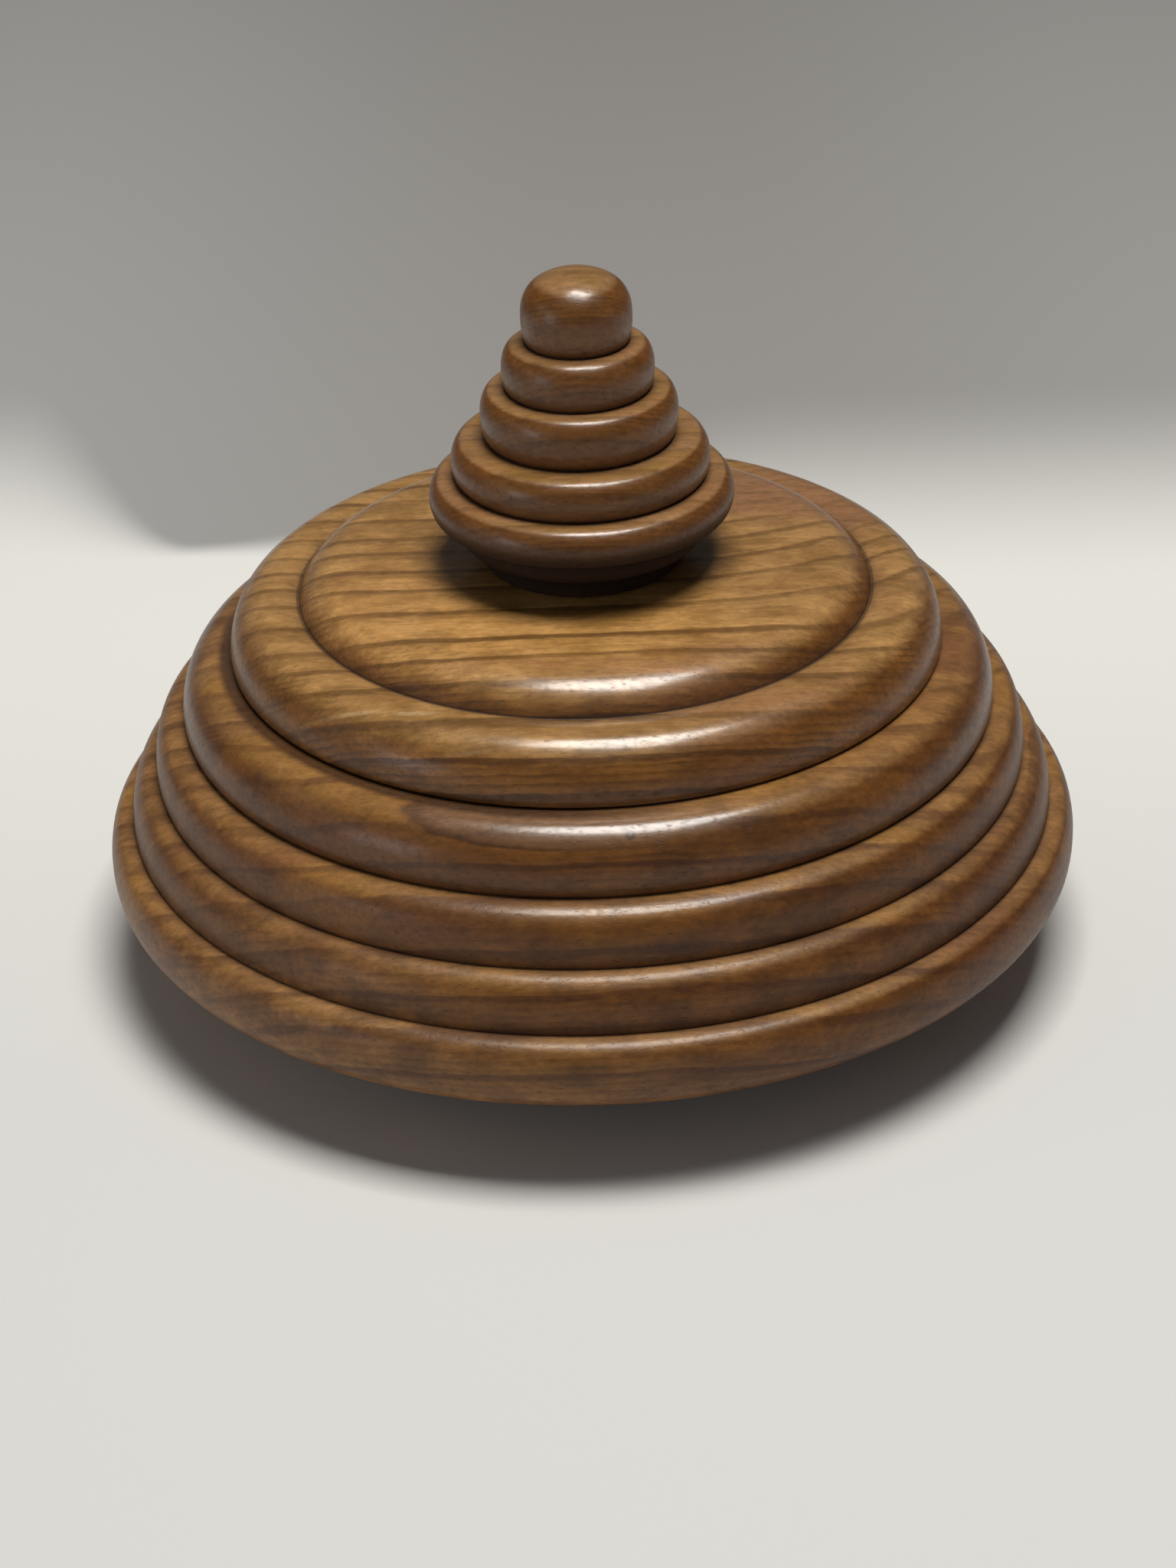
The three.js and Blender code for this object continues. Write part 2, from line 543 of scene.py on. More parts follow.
class StageSettings(PropertyGroup):
    """The floor, the lamps and the camera."""

    floor_colour: FloatVectorProperty(
        name="Floor Colour",
        description="Colour of the pale floor near the pot",
        default=(0.745, 0.747, 0.735),
        subtype="COLOR",
        min=0.0,
        max=1.0,
    )
    # Painted shade: the grey of the sheet behind the pot, at its left
    backdrop_shade: FloatVectorProperty(
        name="Backdrop Shade",
        description="Colour of the sheet behind the pot",
        default=(0.4, 0.398, 0.395),
        subtype="COLOR",
        min=0.0,
        max=1.0,
    )
    fill_strength: FloatProperty(
        name="Fill Strength",
        description="Strength of the even light from all round",
        default=0.08,
        min=0.0,
    )
    key_strength: FloatProperty(
        name="Key Strength",
        description="Share of the light on a level surface that comes from the lamp overhead",
        default=0.94,
        min=0.0,
    )
    key_height: FloatProperty(
        name="Key Height",
        description="Height of the overhead lamp",
        default=1.25,
        min=0.3,
        subtype="DISTANCE",
        unit="LENGTH",
    )
    camera_elevation: FloatProperty(
        name="Camera Elevation",
        description="How far the camera looks down",
        default=math.radians(29.59),
        subtype="ANGLE",
        unit="ROTATION",
    )
    camera_roll: FloatProperty(
        name="Camera Roll",
        description="How far the camera is turned about its own line of sight",
        default=math.radians(1.8),
        subtype="ANGLE",
        unit="ROTATION",
    )
    lens: FloatProperty(
        name="Lens",
        description="Focal length",
        default=80.1,
        subtype="DISTANCE_CAMERA",
        unit="CAMERA",
    )


# Turned outlines

def turned_outline(node):
    """The half outline of a turned CAD node, in metres, from its lowest point on the axis up."""
    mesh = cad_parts[node].data
    on_cut = {}
    for vertex in mesh.vertices:
        x, y, z = vertex.co
        if abs(x) < CUT_REACH and y < CUT_REACH:
            on_cut[vertex.index] = (round(-y, OUTLINE_DECIMALS) + 0.0, round(z, OUTLINE_DECIMALS))
    neighbours = {}
    for edge in mesh.edges:
        ends = [on_cut.get(index) for index in edge.vertices]
        if None in ends or ends[0] == ends[1]:
            continue
        neighbours.setdefault(ends[0], set()).add(ends[1])
        neighbours.setdefault(ends[1], set()).add(ends[0])
    here = min((point for point in neighbours if point[0] == 0), key=lambda point: point[1])
    outline = [here]
    last = None
    while True:
        ahead = [point for point in neighbours[here] if point != last]
        if not ahead:
            break
        last, here = here, ahead[0]
        outline.append(here)
    if len(outline) != len(neighbours) or here[0] != 0:
        raise RuntimeError(f"the outline of {node} can't be followed")
    return [Vector(point) for point in outline]


def turn_at(outline, index):
    """The turn at a point, in radians: above 0 at outward corners, below 0 in grooves."""
    before = outline[index] - outline[index - 1]
    after = outline[index + 1] - outline[index]
    return math.atan2(before.x * after.y - before.y * after.x, before.dot(after))


def smooth_run(points, step):
    """A curve through a run, in steps of at most the given length, or longer if straight."""
    if len(points) == 2:
        return divided(points[0], points[1], step * STRAIGHT_STEPS)
    curve = [points[0]]
    for index in range(len(points) - 1):
        start, end = points[index], points[index + 1]
        before = points[index - 1] if index else start * 2 - end
        after = points[index + 2] if index + 2 < len(points) else end * 2 - start
        span = (end - start).length
        lead = run_tangent(before, start, end) * min(span, 2 * (start - before).length)
        trail = run_tangent(start, end, after) * min(span, 2 * (after - end).length)
        count = max(2, math.ceil(span / step))
        for number in range(1, count + 1):
            t = number / count
            curve.append(
                start * (2 * t ** 3 - 3 * t ** 2 + 1)
                + lead * (t ** 3 - 2 * t ** 2 + t)
                + end * (3 * t ** 2 - 2 * t ** 3)
                + trail * (t ** 3 - t ** 2)
            )
    return curve


def run_tangent(before, here, after):
    """The direction of a curve at a point, leaning to its nearer neighbour."""
    back = here - before
    ahead = after - here
    tangent = back / back.length ** 2 + ahead / ahead.length ** 2
    return tangent.normalized()


def divided(start, end, step):
    """A straight run in steps of at most the given length."""
    count = max(1, math.ceil((end - start).length / step))
    return [start.lerp(end, number / count) for number in range(count + 1)]


def shortened(run, length):
    """A run without its last stretch of the given length."""
    left = length
    points = list(run)
    while len(points) > 1:
        span = (points[-1] - points[-2]).length
        if span > left:
            points[-1] = points[-1].lerp(points[-2], left / span)
            return points
        left -= span
        points.pop()
    return points


def run_length(run):
    """The length of a run."""
    return sum((run[index + 1] - run[index]).length for index in range(len(run) - 1))


def fine_outline(node, sizes):
    """The smooth outline of a node, with its corners rounded, and the corners of its grooves."""
    rough = turned_outline(node)
    corners = [0]
    for index in range(1, len(rough) - 1):
        if abs(turn_at(rough, index)) > math.radians(CORNER_TURN):
            corners.append(index)
    corners.append(len(rough) - 1)
    runs = [smooth_run(rough[a:b + 1], sizes.step_length) for a, b in zip(corners, corners[1:])]
    joints = [(rough[index], turn_at(rough, index)) for index in corners[1:-1]]
    outline = list(runs[0])
    for (corner, turn), run in zip(joints, runs[1:]):
        softness = sizes.edge_softness if turn > 0 else sizes.groove_softness
        room = min(run_length(run), run_length(outline[-CORNER_LOOKBACK:]))
        reach = min(softness, CORNER_SHARE * room)
        outline = shortened(outline, reach)
        run = shortened(run[::-1], reach)[::-1]
        start, end = outline[-1], run[0]
        for number in range(1, CORNER_STEPS):
            t = number / CORNER_STEPS
            outline.append(start * (1 - t) ** 2 + corner * 2 * t * (1 - t) + end * t ** 2)
        outline.extend(run)
    widest = max(point.x for point in rough)
    for point in outline:
        point.x = min(point.x, widest)
    return outline, [corner for corner, turn in joints if turn < 0]


def groove_depths(outline, grooves, reach):
    """How deep in a groove each point is: 1 at its bottom, and near 0 from the given reach on."""
    depths = []
    for point in outline:
        away = min(((point - groove).length for groove in grooves), default=math.inf)
        depths.append(math.exp(-((away / reach) ** 2)))
    return depths


def steepness(outline):
    """How steep the surface is at each point: 0 where it faces up, 1 where it faces out or down."""
    steep = []
    last = len(outline) - 1
    for index in range(len(outline)):
        along = outline[min(index + 1, last)] - outline[max(index - 1, 0)]
        facing = math.degrees(math.atan2(-along.x, abs(along.y)))
        share = (CROWN_FACING - facing) / (CROWN_FACING - FLANK_FACING)
        share = min(1.0, max(0.0, share))
        steep.append(share * share * (3 - 2 * share))
    return steep


# Turned meshes

def turn_sheet(sheet, outline, facets):
    """Turns an outline about Z into a bmesh, and returns its rings of vertices."""
    rings = []
    for radius, height in outline:
        if radius < AXIS_REACH:
            rings.append([sheet.verts.new((0, 0, height))])
            continue
        ring = []
        for number in range(facets):
            angle = math.tau * number / facets
            place = (radius * math.sin(angle), -radius * math.cos(angle), height)
            ring.append(sheet.verts.new(place))
        rings.append(ring)
    for below, above in zip(rings, rings[1:]):
        for number in range(facets):
            after = (number + 1) % facets
            face = [below[number % len(below)], below[after % len(below)]]
            face += [above[after % len(above)], above[number % len(above)]]
            sheet.faces.new(list(dict.fromkeys(face))).smooth = True
    return rings


def sheet_object(name, sheet):
    """An object of the scene, made of a bmesh."""
    mesh = bpy.data.meshes.new(name)
    sheet.to_mesh(mesh)
    sheet.free()
    made = bpy.data.objects.new(name, mesh)
    bpy.context.scene.collection.objects.link(made)
    return made


def turned_piece(name, node, facets, sizes):
    """A finely turned mesh that stands for a CAD node."""
    outline, grooves = fine_outline(node, sizes)
    depths = groove_depths(outline, grooves, sizes.groove_reach)
    sheet = bmesh.new()
    groove = sheet.verts.layers.float.new("groove")
    flank = sheet.verts.layers.float.new("flank")
    rings = turn_sheet(sheet, outline, facets)
    for ring, depth, steep in zip(rings, depths, steepness(outline)):
        for vertex in ring:
            vertex[groove] = depth
            vertex[flank] = steep
    piece = sheet_object(name, sheet)
    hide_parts(node)
    return piece


# Shader maths

class Term:
    """A shader socket that takes part in Python expressions."""

    def __init__(self, shader, socket):
        self.shader = shader
        self.socket = socket

    def __add__(self, other):
        return self.shader.combine("ADD", self, other)

    def __radd__(self, other):
        return self.shader.combine("ADD", other, self)

    def __sub__(self, other):
        return self.shader.combine("SUBTRACT", self, other)

    def __rsub__(self, other):
        return self.shader.combine("SUBTRACT", other, self)

    def __mul__(self, other):
        return self.shader.combine("MULTIPLY", self, other)

    def __rmul__(self, other):
        return self.shader.combine("MULTIPLY", other, self)

    def __truediv__(self, other):
        return self.shader.combine("DIVIDE", self, other)

    def __rtruediv__(self, other):
        return self.shader.combine("DIVIDE", other, self)

    def __abs__(self):
        return self.shader.combine("ABSOLUTE", self)

    def fraction(self):
        """What is left above the whole number below."""
        return self.shader.combine("FRACT", self)

    def rise(self, low, high):
        """A smooth step: 0 below low, 1 above high."""
        return self.shader.node(
            "ShaderNodeMapRange",
            {"interpolation_type": "SMOOTHSTEP"},
            {"Value": self, "From Min": low, "From Max": high},
        )

    def fall(self, low, high):
        """A smooth step down: 1 below low, 0 above high."""
        return 1 - self.rise(low, high)


class Shader:
    """One material's nodes, made by expressions."""

    def __init__(self, name):
        self.material = bpy.data.materials.new(name)
        self.material.use_nodes = True
        self.tree = self.material.node_tree
        self.tree.nodes.clear()

    def node(self, kind, settings=None, inputs=None, output=0):
        """Adds a node, sets its settings and then its sockets, and returns one of its outputs."""
        made = self.tree.nodes.new(kind)
        for name, value in (settings or {}).items():
            setattr(made, name, value)
        for name, value in (inputs or {}).items():
            if isinstance(value, Term):
                self.tree.links.new(value.socket, made.inputs[name])
            else:
                made.inputs[name].default_value = value
        return Term(self, made.outputs[output])

    def combine(self, operation, *values):
        """A Math node, or a Vector Math node where any value is a vector."""
        if not any(self.is_vector(value) for value in values):
            return self.node("ShaderNodeMath", {"operation": operation}, dict(enumerate(values)))
        spread = [(value,) * 3 if isinstance(value, (int, float)) else value for value in values]
        return self.node("ShaderNodeVectorMath", {"operation": operation}, dict(enumerate(spread)))

    @staticmethod
    def is_vector(value):
        """Whether a term or a plain value has three parts."""
        if isinstance(value, Term):
            return value.socket.type == "VECTOR"
        return not isinstance(value, (int, float))

    def mixed(self, factor, first, second, blend="MIX"):
        """A mix of two colours."""
        first, second = [
            colour if isinstance(colour, Term) else (*colour, 1.0)
            for colour in (first, second)
        ]
        return self.node(
            "ShaderNodeMix",
            {"data_type": "RGBA", "blend_type": blend, "clamp_factor": True},
            {0: factor, 6: first, 7: second},
            output=2,
        )

    def tinted(self, colour, tint):
        """A colour multiplied by another."""
        return self.mixed(1.0, colour, tint, "MULTIPLY")

    def noise(self, place, size, detail=2.0, roughness=0.5):
        """Smooth noise about 0.5, with features of about the given size."""
        return self.node(
            "ShaderNodeTexNoise",
            {"noise_dimensions": "3D"},
            {"Vector": place, "Scale": 1 / size, "Detail": detail, "Roughness": roughness},
        )

    def object_place(self):
        """The place on the piece as it was made, in millimetres."""
        return self.node("ShaderNodeTexCoord", output="Object") / MILLIMETRE

    def attribute(self, name):
        """A number that the mesh holds at each vertex."""
        return self.node("ShaderNodeAttribute", {"attribute_name": name}, output="Fac")

    def parts(self, vector):
        """The three parts of a vector."""
        first = self.node("ShaderNodeSeparateXYZ", None, {0: vector})
        return [Term(self, socket) for socket in first.socket.node.outputs]

    def vector(self, x, y, z):
        """A vector from its parts."""
        return self.node("ShaderNodeCombineXYZ", None, {0: x, 1: y, 2: z})

    def length(self, vector):
        """The length of a vector."""
        settings = {"operation": "LENGTH"}
        return self.node("ShaderNodeVectorMath", settings, {0: vector}, output="Value")

    def dot(self, vector, other):
        """The dot product of two vectors."""
        settings = {"operation": "DOT_PRODUCT"}
        return self.node("ShaderNodeVectorMath", settings, {0: vector, 1: other}, output="Value")

    def patch(self, place, centre, reach, softness):
        """An egg-shaped patch: 1 inside, 0 outside."""
        return self.length((place - centre) / reach).fall(1 - softness, 1 + softness)

    def finish(self, surface):
        """Gives the material its surface."""
        output = self.tree.nodes.new("ShaderNodeOutputMaterial")
        self.tree.links.new(surface.socket, output.inputs["Surface"])
        return self.material


# Wood

class WoodShader(Shader):
    """Polished wood with growth lines, fibres and pores that run along X, all in millimetres."""

    def __init__(self, name, wood, seed):
        super().__init__(name)
        self.wood = wood
        self.seed = seed
        self.place = self.object_place()
        self.x, self.y, self.z = self.parts(self.place)
        self.shift = (seed * 37.0, seed * 11.0, seed * 23.0)
        self.grain = self.squeezed(GRAIN_SQUEEZE) + self.shift

        # Grooves, sides that count as steep from further up at the right, so that the painted shade
        # on the flanks reaches higher there, and worn lower rings
        self.groove = self.attribute("groove")
        steeper = self.x.rise(0.0, 45.0) * 0.35 + 1.0
        self.flank = (self.attribute("flank") * steeper).rise(0.0, wood.flank_turn)
        self.worn = self.z.fall(UPPER_RING_TOP - 1.6, UPPER_RING_TOP + 1.4)

        # Where the surface faces along the grain, and cuts across it
        across = abs(self.x) / (self.length(self.vector(self.x, self.y, 0.0)) + 0.01)
        self.cross_cut = across.rise(0.45, 1.0) * (self.flank * 0.6 + 0.4)

        # Fibres and pores
        fibre_place = self.squeezed(FIBRE_SQUEEZE)
        self.fibre = self.noise(fibre_place, FIBRE_SIZE, 3.0, 0.6)
        self.broad_fibre = self.noise(fibre_place, BROAD_FIBRE_SIZE, 3.0, 0.6)
        self.pores = self.noise(self.squeezed(PORE_SQUEEZE), PORE_SIZE, 1.0).rise(0.66, 0.74)
        self.pits = self.noise(self.place, PIT_SIZE, 2.0, 0.5).rise(0.5, 0.72)
        self.speckle = self.noise(self.squeezed(SPECKLE_SQUEEZE), SPECKLE_SIZE, 2.0, 0.6) - 0.5

        # Growth lines: soft on the early side, crisp on the late side
        self.layers = self.growth_layers()
        self.phase = self.layers.fraction()
        self.strong = self.noise(self.grain, LINE_STRENGTH_SIZE, 2.0).rise(0.28, 0.52)
        edge_place = self.squeezed(LINE_EDGE_SQUEEZE) + self.shift
        ragged = self.noise(edge_place, LINE_EDGE_SIZE, 2.0).rise(0.3, 0.7)
        early = self.phase + self.strong * 0.06 + ragged * 0.06
        self.line = early.rise(*LINE_COMES) * self.phase.fall(*LINE_GOES)

    def squeezed(self, share):
        """The place with its lengths along the grain shortened, which draws noise out along it."""
        return self.place * (share, 1.0, 1.0)

    def growth_layers(self):
        """The yearly layers from the heart of the tree out, wavy, and bent at the back right."""
        bend = self.combine("MAXIMUM", self.x - 8.0, 0.0)
        back = bend * bend * 0.008 * self.y.rise(-34.0, 6.0)
        behind = self.y - back + self.wood.heart_ahead / MILLIMETRE
        above = self.z - self.wood.heart_height / MILLIMETRE
        wave = self.noise(self.grain, LAYER_WAVE_SIZE, 1.0, 0.4) - 0.5
        ripple_place = self.squeezed(RIPPLE_SQUEEZE) + self.shift
        ripple = self.noise(ripple_place, LAYER_RIPPLE_SIZE, 2.0) - 0.5
        growth = self.length(self.vector(0.0, behind, above))
        growth = growth + wave * (self.wood.layer_wave / MILLIMETRE) + ripple * 0.9
        spacing = self.wood.line_spacing / MILLIMETRE
        along = self.vector(growth + self.seed * 50.0, 0.0, 0.0)
        uneven = self.noise(along, spacing * 2.4, 1.0) - 0.5
        return (growth + uneven * (spacing * 1.5)) / spacing

    def bare_wood(self):
        """The colour of the wood between its growth lines: light, deep and red areas."""
        wood = self.wood
        mottle = self.noise(self.grain * (1.5, 0.6, 0.6), MOTTLE_SIZE, 3.0, 0.55)
        red = self.noise(self.grain + (9.0, 0.0, 70.0), RED_AREA_SIZE, 3.0, 0.5)
        low = 0.62 - 0.24 * wood.red_amount
        colour = self.mixed(mottle.rise(0.32, 0.66), wood.deep_wood, wood.light_wood)
        colour = self.mixed(red.rise(low, low + 0.12) * 0.8, colour, wood.red_wood)
        return self.mixed(self.cross_cut * 0.35, colour, wood.red_wood)

    def layered(self, colour):
        """A colour that darkens to the end of each yearly layer, with fine lines between."""
        wood = self.wood
        shade = self.phase.rise(*SHADE_COMES) * self.phase.fall(*SHADE_GOES)
        phase = self.layers * FINE_LINES_PER_LAYER + self.noise(self.grain, FINE_WAVE_SIZE)
        phase = phase.fraction()
        unbroken = self.noise(self.grain + (0.0, 0.0, 33.0), FINE_BREAK_SIZE, 2.0).rise(0.3, 0.6)
        fine = phase.rise(*FINE_COMES) * phase.fall(*FINE_GOES) * unbroken
        area = self.noise(self.grain + (0.0, 40.0, 0.0), FINE_AREA_SIZE, 2.0).rise(0.36, 0.6)
        fine = fine * (area * 0.2 + self.flank * wood.fine_lines)
        colour = self.mixed(shade * (1 - self.cross_cut * 0.5) * 0.25, colour, wood.line_wood)
        return self.mixed(fine, colour, wood.line_wood)

    def growth_lines(self):
        """How strongly the growth lines show: less where the wood is cut across the grain."""
        strength = (self.strong * 0.6 + 0.4) * self.wood.line_strength
        return self.line * strength * (1 - self.cross_cut * 0.7)

    def aged(self, colour):
        """A colour with fibres and pores, with painted shade on the flanks, and dirt and painted
        shade in the grooves.
        """
        wood = self.wood
        streak = (self.fibre - 0.5) * 0.5 + (self.broad_fibre - 0.5) * 0.6
        streak = streak + self.speckle * 0.8 + 1.0
        colour = self.tinted(colour, self.vector(streak, streak, streak))
        colour = self.mixed(self.pores * 0.4, colour, PORE_COLOUR)

        # Painted shade darkens and greys the flanks, less at the left of the lower rings and of the
        # disc, where more light is painted
        widest = self.z.fall(WIDEST_RING_TOP - 1.5, WIDEST_RING_TOP + 1.5)
        disc = self.z.rise(DISC_FOOT - 0.3, DISC_FOOT + 0.5)
        less_flank_shade = self.worn * self.x.fall(-45.0, 10.0) * 0.25
        less_flank_shade = less_flank_shade + widest * self.x.fall(0.0, 35.0) * 0.25
        less_flank_shade = less_flank_shade + disc * self.x.fall(-42.0, -30.0) * 0.45
        shaded_flank_colour = self.tinted(colour, FLANK_SHADE_TINT)
        shaded_flank_colour = self.mixed(self.flank.rise(0.55, 1.0), shaded_flank_colour, STEEP_FLANK_SHADE_TINT, "MULTIPLY")
        colour = self.mixed(self.flank * wood.flank_painted_shade * (1 - less_flank_shade), colour, shaded_flank_colour)

        # Dirt and painted shade in the grooves
        dirty_and_shaded = self.tinted(colour, GROOVE_DIRT_AND_SHADE_TINT)
        colour = self.mixed(self.groove * wood.groove_dirt_and_shade, colour, dirty_and_shaded)
        return self.mixed(self.groove.rise(0.86, 0.98) * wood.groove_dirt_and_shade, colour, GROOVE_DIRT_AND_SHADE)

    def polished(self, colour):
        """A surface with a polish that is best on the crowns, over the relief of the fibres."""
        groove, flank, worn = self.groove, self.flank, self.worn
        fibre, pores, pits = self.fibre, self.pores, self.pits

        # The finial's neck, under its brim, is never rubbed
        hidden = self.z.rise(FINIAL_FOOT - 0.2, FINIAL_FOOT + 0.2)
        hidden = hidden * self.z.fall(BRIM_FOOT + 0.5, BRIM_FOOT + 3.0)

        roughness = self.wood.roughness + (fibre - 0.5) * 0.15 + pores * 0.2
        roughness = roughness + groove * 0.4 + flank * 0.1 + worn * 0.05 + hidden * 0.4
        polish = (1 - flank.rise(0.2, 1.0) * 0.7) * (1 - groove * 0.8) * (1 - pores * 0.5)
        polish = polish * (1 - worn * 0.75) * (1 - pits * (worn * 0.4 + 0.5))
        polish = polish * (self.speckle * 1.4 + 0.95) * (1 - hidden)
        height = fibre * 0.5 + self.broad_fibre * 0.7 - pores * 0.6 - self.line * 0.25
        height = height - pits * (0.2 + worn * 0.35)
        relief = {"Strength": RELIEF_STRENGTH, "Distance": RELIEF_DEPTH, "Height": height}
        return self.node(
            "ShaderNodeBsdfPrincipled", None,
            {
                "Base Color": colour,
                "Roughness": roughness,
                "Normal": self.node("ShaderNodeBump", None, relief),
                "IOR": WOOD_IOR,
                "Specular IOR Level": WOOD_SPECULAR,
                "Coat Weight": self.combine("MINIMUM", polish, 1.0),
                "Coat Roughness": POLISH_ROUGHNESS,
                "Coat IOR": POLISH_IOR,
            },
        )


def wood_material(name, wood, seed, figure):
    """A piece's wood, with its own figure drawn over the growth layers."""
    shader = WoodShader(name, wood, seed)
    colour = shader.layered(shader.bare_wood())
    colour, lines = figure(shader, colour, shader.growth_lines())
    colour = shader.mixed(lines, colour, wood.line_wood)
    return shader.finish(shader.polished(shader.aged(colour)))


def body_figure(shader, colour, lines):
    """A tongue of plain wood with a dark rim on the shoulder ring, golden wood beside it, and
    painted shadow under the left of the lid's edge.
    """
    place, x, y, z = shader.place, shader.x, shader.y, shader.z

    # The tongue: how far out in it a place is, 1 at its edge
    waver = shader.noise(shader.squeezed(TONGUE_SQUEEZE), TONGUE_WAVER_SIZE, 2.0) - 0.5
    reach = shader.length((place - TONGUE_CENTRE) / TONGUE_REACH) + waver * 0.3
    inside = reach.fall(0.94, 1.02) * x.fall(-4.0, 26.0)
    rim = reach.rise(0.84, 0.98) * reach.fall(1.0, 1.08) * x.fall(-14.0, 8.0)
    beside = shader.patch(place, BESIDE_CENTRE, BESIDE_REACH, 0.6) * reach.rise(1.0, 1.1)
    golden_place = shader.squeezed(GOLDEN_SQUEEZE) + (40.0, 0.0, 9.0)
    golden = shader.noise(golden_place, GOLDEN_SIZE, 2.0).rise(0.5, 0.66)
    colour = shader.mixed(golden * 0.6, colour, GOLDEN_COLOUR)
    colour = shader.mixed(beside * 0.75, colour, BESIDE_COLOUR)
    colour = shader.mixed(inside * 0.75, colour, TONGUE_COLOUR)
    colour = shader.mixed(rim * 0.8, colour, RIM_COLOUR)

    # Painted shadow under the left of the lid's edge
    edge = shader.length(shader.vector(x, y, 0.0)).fall(*LID_EDGE_SHADOW_RADII) * z.rise(48.0, 49.5)
    edge = edge * x.fall(-12.0, 22.0) * y.fall(0.0, 30.0)
    colour = shader.mixed(edge * 0.9, colour, LID_EDGE_SHADOW_COLOUR)

    away = shader.length(place - DIMPLE_CENTRE)
    dimple = away.rise(0.25, 0.5) * away.fall(0.6, 1.0)
    colour = shader.mixed(dimple * 0.8, colour, DIMPLE_COLOUR)
    return colour, lines * (1 - inside * 0.8)


def lid_figure(shader, colour, lines):
    """A light area on the disc, a plain reddish one at its back right, and old scratches."""
    place = shader.place
    pale = shader.patch(place, PALE_CENTRE, PALE_REACH, 0.6)
    colour = shader.mixed(pale * 0.8, colour, shader.tinted(colour, PALE_TINT))
    waver = shader.noise(place, PLAIN_WAVER_SIZE) - 0.5
    plain = shader.patch(place + waver * 9.0, PLAIN_CENTRE, PLAIN_REACH, 0.35)
    colour = shader.mixed(plain * 0.8, colour, PLAIN_COLOUR)
    for start, along, across, length in SCRATCHES:
        away = place - start
        ahead = shader.dot(away, along)
        mark = abs(shader.dot(away, across)).fall(0.15, 0.5)
        mark = mark * ahead.rise(0.0, 2.5) * ahead.fall(length - 4.0, length)
        colour = shader.mixed(mark * 0.75, colour, SCRATCH_COLOUR)
    return colour, lines * (1 - plain * 0.85)


def finial_figure(shader, colour, lines):
    """The neck and the base ring, darkened by painted shadow under the brim."""
    # Painted shadow on the brim's underside and, darker, on the neck and base ring
    brim = shader.z.fall(BRIM_FOOT + 2.8, BRIM_FOOT + 5.0)
    neck = shader.z.fall(BRIM_FOOT + 1.0, BRIM_FOOT + 3.5)
    colour = shader.mixed(brim * 0.4, colour, BRIM_SHADOW_COLOUR)
    colour = shader.mixed(neck * 0.9, colour, NECK_SHADOW_COLOUR)
    return colour, lines * (1 - neck * 0.6)


# Pieces

class POT_OT_body(Operator):
    """Turns the pot body, with its four rings, its foot and its hollow."""

    bl_idname = "pot.body"
    bl_label = "Pot Body"

    def execute(self, context):
        turning = context.scene.pot_turning
        wood = context.scene.pot_body_wood
        piece = turned_piece("body_turned", "pot_body", turning.body_facets, turning)
        material = wood_material("body_polished_wood", wood, seed=3.0, figure=body_figure)
        piece.data.materials.append(material)
        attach(piece, "pot")
        return {"FINISHED"}


class POT_OT_lid(Operator):
    """Turns the lid, with its ring, its raised disc and the spigot underneath."""

    bl_idname = "pot.lid"
    bl_label = "Lid"

    def execute(self, context):
        turning = context.scene.pot_turning
        wood = context.scene.pot_lid_wood
        piece = turned_piece("lid_turned", "lid", turning.lid_facets, turning)
        material = wood_material("lid_polished_wood", wood, seed=1.0, figure=lid_figure)
        piece.data.materials.append(material)
        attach(piece, "lid_and_finial")
        return {"FINISHED"}


class POT_OT_finial(Operator):
    """Turns the finial, with its neck, its rings and its knob."""

    bl_idname = "pot.finial"
    bl_label = "Finial"

    def execute(self, context):
        turning = context.scene.pot_turning
        wood = context.scene.pot_finial_wood
        piece = turned_piece("finial_turned", "finial", turning.finial_facets, turning)
        material = wood_material("finial_polished_wood", wood, seed=2.0, figure=finial_figure)
        piece.data.materials.append(material)
        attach(piece, "lid_and_finial")
        return {"FINISHED"}


# Stage

def floor_material(stage):
    """A pale matt sheet with painted light further back, and painted shade that greys it behind the
    pot.
    """
    shader = Shader("pale_sheet_painted_shade")
    x, y = shader.parts(shader.object_place())[:2]

    # How far behind the pot the painted shade on the sheet begins, and how softly, at its left,
    # middle and right
    left = x.fall(-120.0, -76.0)
    right = x.rise(-76.0, 50.0)
    edge = left * 41.0 + right * 21.0 + 139.0
    blur = left * 42.0 + right * 47.0 + 4.0
    back = ((y - edge) / blur).rise(-1.0, 1.0)

    # Painted light on the far floor, and painted shade on the backdrop
    pale = shader.mixed(y.rise(-60.0, 120.0), stage.floor_colour, FAR_FLOOR_LIT_COLOUR)
    far = shader.mixed(x.rise(-150.0, 10.0), stage.backdrop_shade, MIDDLE_BACKDROP_SHADE)
    far = shader.mixed(x.rise(30.0, 150.0), far, RIGHT_BACKDROP_SHADE)
    surface = shader.node(
        "ShaderNodeBsdfPrincipled", None,
        {
            "Base Color": shader.mixed(back, pale, far),
            "Roughness": FLOOR_ROUGHNESS,
            "Specular IOR Level": FLOOR_SPECULAR,
        },
    )
    return shader.finish(surface)


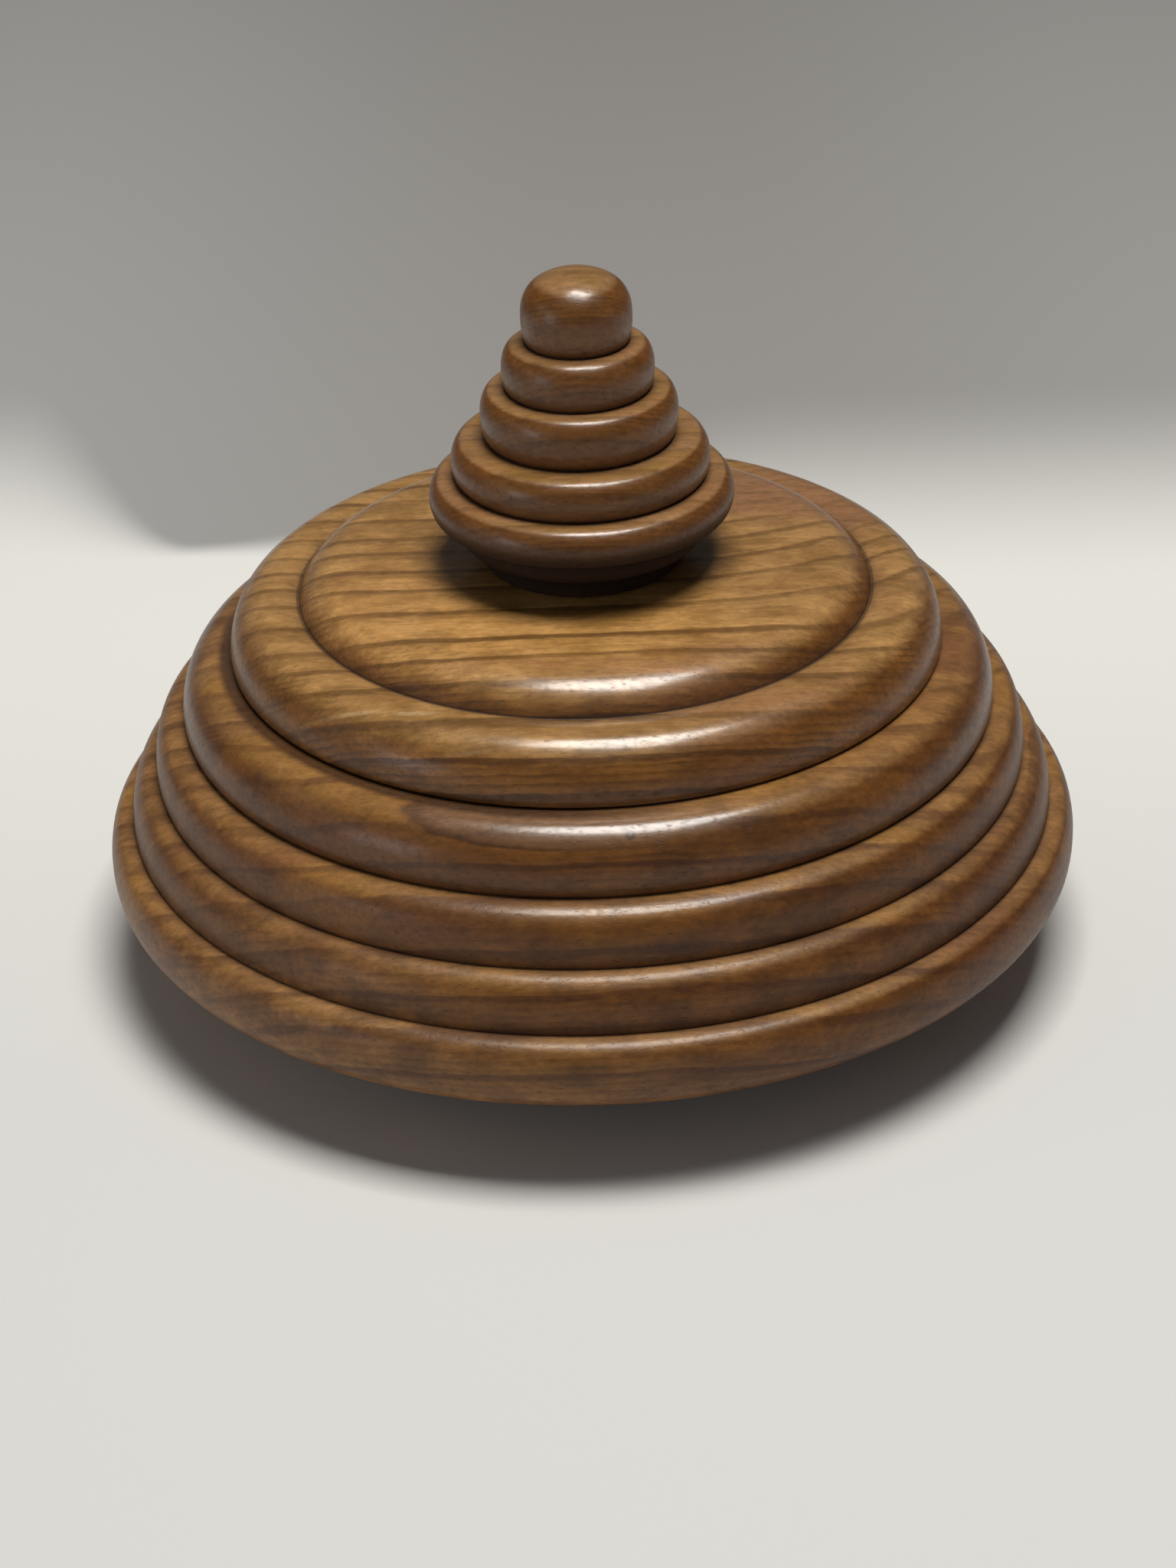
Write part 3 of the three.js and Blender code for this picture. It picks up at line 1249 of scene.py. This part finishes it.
def round_floor():
    """A round floor that curves up into a wall, so that every view ends on the pale sheet."""
    profile = [(FLOOR_RADIUS * share, 0.0) for share in FLOOR_RINGS]
    for step in range(1, WALL_CURVE_STEPS + 1):
        angle = math.radians(90 * step / WALL_CURVE_STEPS)
        reach = FLOOR_RADIUS + WALL_CURVE * math.sin(angle)
        profile.append((reach, WALL_CURVE * (1 - math.cos(angle))))
    profile.append((FLOOR_RADIUS + WALL_CURVE, WALL_HEIGHT))
    sheet = bmesh.new()
    turn_sheet(sheet, profile, FLOOR_FACETS)
    return sheet_object("floor", sheet)


def add_lamp(name, size, energy, colour, place, aim_height):
    """A rectangular lamp that points at a height on the pot's axis."""
    light = bpy.data.lights.new(name, "AREA")
    light.shape = "RECTANGLE"
    light.size, light.size_y = size
    light.energy = energy
    light.color = colour
    lamp = bpy.data.objects.new(name, light)
    lamp.location = place
    ahead = Vector((0, 0, aim_height)) - lamp.location
    lamp.rotation_euler = ahead.to_track_quat("-Z", "Y").to_euler()
    bpy.context.scene.collection.objects.link(lamp)


def add_camera(stage):
    """The camera, at the photograph's viewing angle."""
    camera = bpy.data.cameras.new("camera")
    camera.lens = stage.lens
    camera.sensor_width = SENSOR_WIDTH
    camera.shift_x = FRAME_SHIFT
    camera.clip_start = NEAREST_SEEN
    camera.clip_end = FARTHEST_SEEN
    holder = bpy.data.objects.new("camera", camera)
    bpy.context.scene.collection.objects.link(holder)
    look = stage.camera_elevation
    ahead = Vector((0, math.cos(look), -math.sin(look)))
    holder.location = Vector((0, 0, CAMERA_AIM_HEIGHT)) - ahead * CAMERA_DISTANCE
    holder.rotation_mode = "QUATERNION"
    roll = Quaternion((0, 0, 1), -stage.camera_roll)
    holder.rotation_quaternion = ahead.to_track_quat("-Z", "Y") @ roll
    return holder


class POT_OT_stage(Operator):
    """Makes the floor, the lamps, the world and the camera."""

    bl_idname = "pot.stage"
    bl_label = "Stage"

    def execute(self, context):
        scene = context.scene
        stage = scene.pot_stage
        floor = round_floor()
        floor.data.materials.append(floor_material(stage))

        world = bpy.data.worlds.new("studio")
        world.use_nodes = True
        background = world.node_tree.nodes["Background"]
        background.inputs["Color"].default_value = SKY_COLOUR
        background.inputs["Strength"].default_value = stage.fill_strength
        scene.world = world

        key_place = (*KEY_PLACE, stage.key_height)
        key_energy = stage.key_strength * math.pi ** 2 * stage.key_height ** 2
        add_lamp("key", KEY_SIZE, key_energy, KEY_COLOUR, key_place, KEY_AIM_HEIGHT)
        for name, size, energy, colour, place in (
            ("window", WINDOW_SIZE, WINDOW_ENERGY, WINDOW_COLOUR, WINDOW_PLACE),
            ("side", SIDE_SIZE, SIDE_ENERGY, SIDE_COLOUR, SIDE_PLACE),
        ):
            add_lamp(name, size, energy, colour, place, LOW_AIM_HEIGHT)

        scene.camera = add_camera(stage)
        scene.view_settings.view_transform = "Standard"
        return {"FINISHED"}


class POT_PT_sidebar(Panel):
    """Lists the pot's settings and the buttons that make its pieces."""

    bl_idname = "POT_PT_sidebar"
    bl_label = "Turned Pot"
    bl_space_type = "VIEW_3D"
    bl_region_type = "UI"
    bl_category = "Pot"

    def draw(self, context):
        layout = self.layout
        groups = [
            ("Turning", context.scene.pot_turning, ["pot.body", "pot.lid", "pot.finial"]),
            ("Body Wood", context.scene.pot_body_wood, []),
            ("Lid Wood", context.scene.pot_lid_wood, []),
            ("Finial Wood", context.scene.pot_finial_wood, []),
            ("Stage", context.scene.pot_stage, ["pot.stage"]),
        ]
        for title, settings, buttons in groups:
            box = layout.box()
            box.label(text=title)
            for name in settings.bl_rna.properties.keys():
                if name not in {"rna_type", "name"}:
                    box.prop(settings, name)
            for button in buttons:
                box.operator(button)


CLASSES = (
    TurningSizes,
    LidWood,
    BodyWood,
    FinialWood,
    StageSettings,
    POT_OT_body,
    POT_OT_lid,
    POT_OT_finial,
    POT_OT_stage,
    POT_PT_sidebar,
)


def register():
    """Registers the classes and their settings on the scene."""
    for each in CLASSES:
        bpy.utils.register_class(each)
    bpy.types.Scene.pot_turning = PointerProperty(type=TurningSizes)
    bpy.types.Scene.pot_body_wood = PointerProperty(type=BodyWood)
    bpy.types.Scene.pot_lid_wood = PointerProperty(type=LidWood)
    bpy.types.Scene.pot_finial_wood = PointerProperty(type=FinialWood)
    bpy.types.Scene.pot_stage = PointerProperty(type=StageSettings)


def unregister():
    """Takes the settings and the classes away again."""
    for name in ("pot_turning", "pot_body_wood", "pot_lid_wood", "pot_finial_wood", "pot_stage"):
        delattr(bpy.types.Scene, name)
    for each in reversed(CLASSES):
        bpy.utils.unregister_class(each)


def main():
    """Makes every piece and the stage."""
    register()
    bpy.ops.pot.body()
    bpy.ops.pot.lid()
    bpy.ops.pot.finial()
    bpy.ops.pot.stage()


if __name__ == "__main__":
    main()
